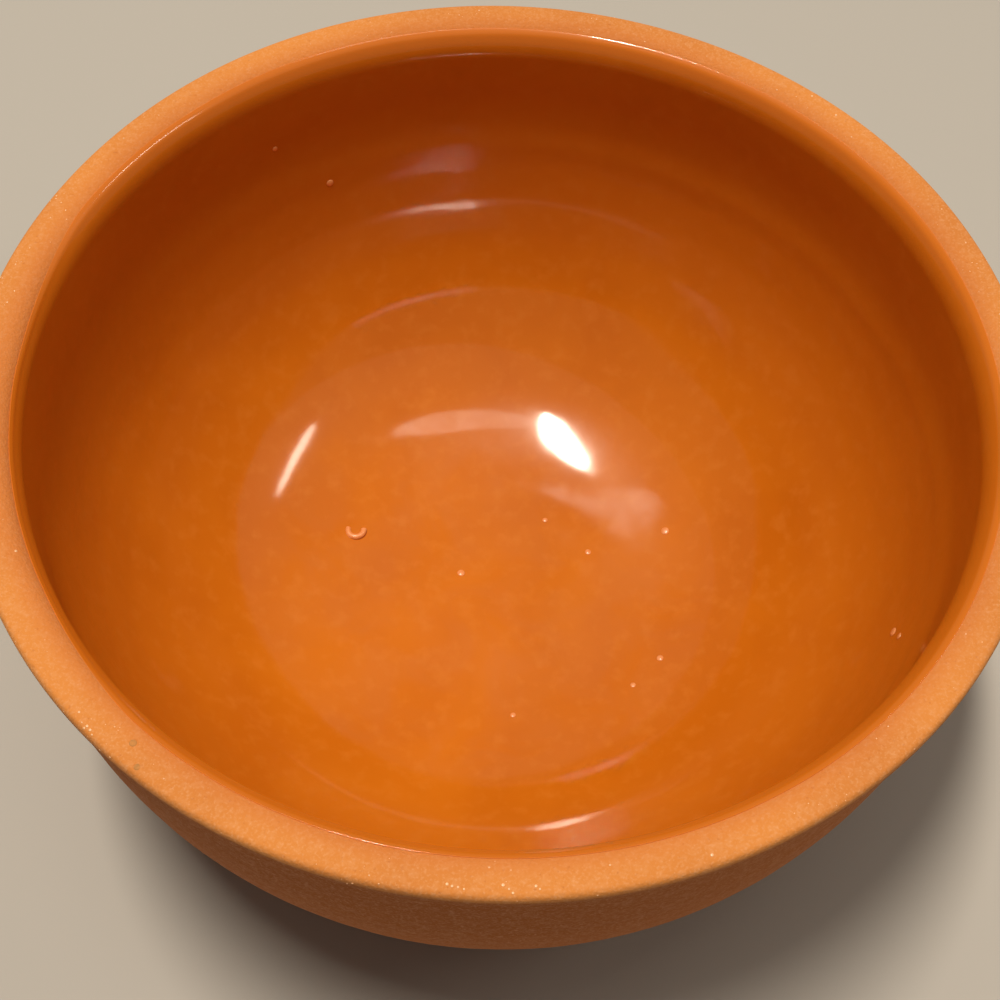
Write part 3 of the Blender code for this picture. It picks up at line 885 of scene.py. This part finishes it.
def wheel_values(scene):
    """What the clay and the glaze both give the tree that turns them."""
    finish = scene.pot_finish
    return {"Segments": SEGMENTS, "Ripple depth": finish.ripple_depth, "Waver size": finish.waver_size,
            "Waver depth": finish.waver_depth, "Pot height": scene.pot_sizes.height, "Seed": finish.seed}


class POT_OT_stage(bpy.types.Operator):
    """Lays the floor, hangs the lamps and sets up the camera"""
    bl_idname = "pot.stage"
    bl_label = "Set the Stage"

    def execute(self, context):
        scene = context.scene
        stage = scene.pot_stage
        scene.view_settings.view_transform = "Standard"
        self.lay_floor(stage)
        self.fill_room(scene, stage)
        self.hang_lamps(stage)
        self.place_camera(scene, stage)
        return {"FINISHED"}

    def lay_floor(self, stage):
        """Lays a plain round floor under the pot."""
        bpy.ops.mesh.primitive_circle_add(vertices=96, radius=STUDIO_RADIUS, fill_type="NGON")
        floor = bpy.context.object
        floor.name = "studio_floor"
        material, tree = new_material("studio_floor_paint")
        shader = add_node(tree, SURFACE, {"Base Color": stage.floor, "Roughness": 0.9})[0]
        add_node(tree, OUTPUT, {"Surface": shader})
        floor.data.materials.append(material)

    def fill_room(self, scene, stage):
        """Lights the room softly, and shows a plain backdrop to the eye and in anything glossy or clear."""
        scene.world = bpy.data.worlds.new("studio_room")
        scene.world.use_nodes = True
        tree = scene.world.node_tree
        tree.nodes.clear()
        path = add_node(tree, "ShaderNodeLightPath")
        seen = path["Is Camera Ray"]
        for ray in ("Is Glossy Ray", "Is Transmission Ray"):
            seen = add_node(tree, MATH, {0: seen, 1: path[ray]}, operation="MAXIMUM")[0]
        fill = add_node(tree, "ShaderNodeBackground", {
            "Color": stage.fill, "Strength": stage.fill_strength})[0]
        backdrop = add_node(tree, "ShaderNodeBackground", {
            "Color": stage.fill, "Strength": stage.backdrop_strength})[0]
        mixed = add_node(tree, "ShaderNodeMixShader", {0: seen, 1: fill, 2: backdrop})[0]
        add_node(tree, "ShaderNodeOutputWorld", {"Surface": mixed})

    def hang_lamps(self, stage):
        """Hangs the soft lamps, each turned to the pot."""
        # Way out from the pot, share of the lamps' distance, line that the length follows, sizes and power
        for name, way, further, along, size, power in (
                ("overhead_strip", (-0.125, 0.038, 1.0), 1.0, (0, 1, 0), (0.70, 0.16), stage.strip),
                ("overhead_glow", (0.11, -0.04, 1.0), 1.05, (1, 0, 0), (0.80, 0.38), stage.glow),
                ("overhead_spot", (-0.20, 0.31, 1.0), 1.0, (0.87, 0.48, 0), (0.74, 0.18), stage.spot),
                ("side_strip", (0.678, 0.03, 0.735), 1.0, (0, 1, 0), (0.68, 0.11), stage.side),
                ("overhead_scrim", (0.25, 0.13, 1.0), 1.1, (1, 0, 0), (5.0, 5.0), stage.scrim)):
            data = bpy.data.lights.new(name, "AREA")
            data.shape = "ELLIPSE"
            data.size, data.size_y = size
            data.energy = power
            data.color = stage.lamp[:3]
            lamp = bpy.data.objects.new(name, data)
            bpy.context.scene.collection.objects.link(lamp)
            back = Vector(way).normalized()
            across = (Vector(along) - back * back.dot(Vector(along))).normalized()
            turn = Matrix((across, back.cross(across), back)).transposed().to_4x4()
            lamp.matrix_world = Matrix.Translation(back * stage.lamp_distance * further) @ turn

    def place_camera(self, scene, stage):
        """Sets the camera at the photograph's viewing angle."""
        data = bpy.data.cameras.new("camera")
        data.sensor_width = SENSOR_WIDTH
        data.lens = stage.camera_lens
        data.clip_start = NEAREST_VIEW
        camera = bpy.data.objects.new("camera", data)
        scene.collection.objects.link(camera)
        rim_middle = Vector((0, 0, scene.pot_sizes.height - stage.camera_drop))
        back = Vector((0, -math.cos(stage.camera_elevation), math.sin(stage.camera_elevation)))
        turn = (-back).to_track_quat("-Z", "Y")
        turn = turn @ Quaternion((1, 0, 0), stage.camera_pitch) @ Quaternion((0, 0, 1), stage.camera_roll)
        camera.location = rim_middle + back * stage.camera_distance
        camera.rotation_mode = "QUATERNION"
        camera.rotation_quaternion = turn
        scene.camera = camera


class POT_OT_clay(bpy.types.Operator):
    """Turns the bare clay body"""
    bl_idname = "pot.clay"
    bl_label = "Turn the Clay"

    def execute(self, context):
        scene = context.scene
        finish = scene.pot_finish
        points, shares = Profile(scene.pot_sizes).clay()
        profile = profile_mesh("clay_profile", points, points, shares)
        piece = grow("clay_body", profile, turning_tree(), {
            **wheel_values(scene), "Ridge pitch": finish.ridge_pitch, "Ridge depth": finish.ridge_depth,
            "Ripple size": finish.clay_ripple, "Material": bare_terracotta(finish)})
        settled(piece, "bare_terracotta", "clay_pot")
        return {"FINISHED"}


class POT_OT_glaze(bpy.types.Operator):
    """Pours the glaze over the inside"""
    bl_idname = "pot.glaze"
    bl_label = "Pour the Glaze"

    def execute(self, context):
        scene = context.scene
        finish = scene.pot_finish
        sizes = scene.pot_sizes
        points, shares = Profile(sizes).glaze(sizes.glaze_stop)
        low_points = Profile(sizes).glaze(sizes.glaze_sag)[0]
        profile = profile_mesh("glaze_profile", points, low_points, shares)
        piece = grow("poured_glaze", profile, turning_tree(), {
            **wheel_values(scene), "Sag bearing": finish.sag_bearing, "Ridge pitch": finish.glaze_ridge_pitch,
            "Ridge depth": finish.glaze_ridge_depth, "Ripple size": finish.glaze_ripple,
            "Material": clear_glaze(finish)})
        settled(piece, "clear_glaze", "glaze_lining")
        return {"FINISHED"}


class POT_OT_grains(bpy.types.Operator):
    """Sows mica grains over the bare lip"""
    bl_idname = "pot.grains"
    bl_label = "Sow the Mica Grains"

    def execute(self, context):
        finish = context.scene.pot_finish
        clay = context.scene.objects["clay_body"].data.copy()
        piece = grow("mica_grains", clay, grains_tree(), {
            "Grain size": finish.grain_size, "Grain spacing": finish.grain_spacing, "Seed": finish.seed,
            "Material": mica_grains(finish)})
        settled(piece, "bare_terracotta")
        return {"FINISHED"}


class POT_OT_flaws(bpy.types.Operator):
    """Leaves burst bubbles in the glaze, and large grains and stains on the lip"""
    bl_idname = "pot.flaws"
    bl_label = "Leave the Flaws"

    def execute(self, context):
        finish = context.scene.pot_finish
        clay = context.scene.objects["clay_body"]
        glaze = context.scene.objects["poured_glaze"]
        burst = burst_glaze(finish)
        mica = bpy.data.materials["mica_sand_grains"]
        spots = spots_tree()
        blisters = grow("glaze_blisters", points_under("blister_points", BLISTERS, glaze), spots, {
            "Spot size": finish.blister_size, "Spot height": finish.blister_height, "Seed": finish.seed,
            "Material": burst})
        scar = points_under("crescent_point", [CRESCENT], glaze)
        crescent = grow("glaze_crescent", scar, crescent_tree(), {
            "Crescent size": finish.crescent_size, "Material": burst})
        glints = grow("lip_glints", points_under("glint_points", GLINTS, clay), spots, {
            "Spot size": finish.glint_size, "Spot height": finish.glint_height, "Seed": finish.seed,
            "Material": mica})
        stains = grow("lip_stains", points_under("stain_points", STAINS, clay), spots, {
            "Spot size": finish.stain_size, "Spot height": finish.stain_height, "Seed": finish.seed,
            "Material": food_stain(finish)})
        settled(blisters, "clear_glaze")
        settled(crescent, "clear_glaze")
        settled(glints, "bare_terracotta")
        settled(stains, "bare_terracotta")
        return {"FINISHED"}


OPERATORS = (POT_OT_stage, POT_OT_clay, POT_OT_glaze, POT_OT_grains, POT_OT_flaws)


class VIEW3D_PT_pot(bpy.types.Panel):
    """Lists the pot's pieces and its stage"""
    bl_idname = "VIEW3D_PT_pot"
    bl_label = "Terracotta Pot"
    bl_space_type = "VIEW_3D"
    bl_region_type = "UI"
    bl_category = "Pot"

    def draw(self, context):
        for operator in OPERATORS:
            self.layout.operator(operator.bl_idname)


CLASSES = (PotSizes, PotFinish, PotStage, *OPERATORS, VIEW3D_PT_pot)


def register():
    for kind in CLASSES:
        bpy.utils.register_class(kind)
    bpy.types.Scene.pot_sizes = PointerProperty(type=PotSizes)
    bpy.types.Scene.pot_finish = PointerProperty(type=PotFinish)
    bpy.types.Scene.pot_stage = PointerProperty(type=PotStage)


def unregister():
    del bpy.types.Scene.pot_stage
    del bpy.types.Scene.pot_finish
    del bpy.types.Scene.pot_sizes
    for kind in reversed(CLASSES):
        bpy.utils.unregister_class(kind)


def main():
    register()
    bpy.ops.pot.stage()
    bpy.ops.pot.clay()
    bpy.ops.pot.glaze()
    bpy.ops.pot.grains()
    bpy.ops.pot.flaws()


if __name__ == "__main__":
    main()
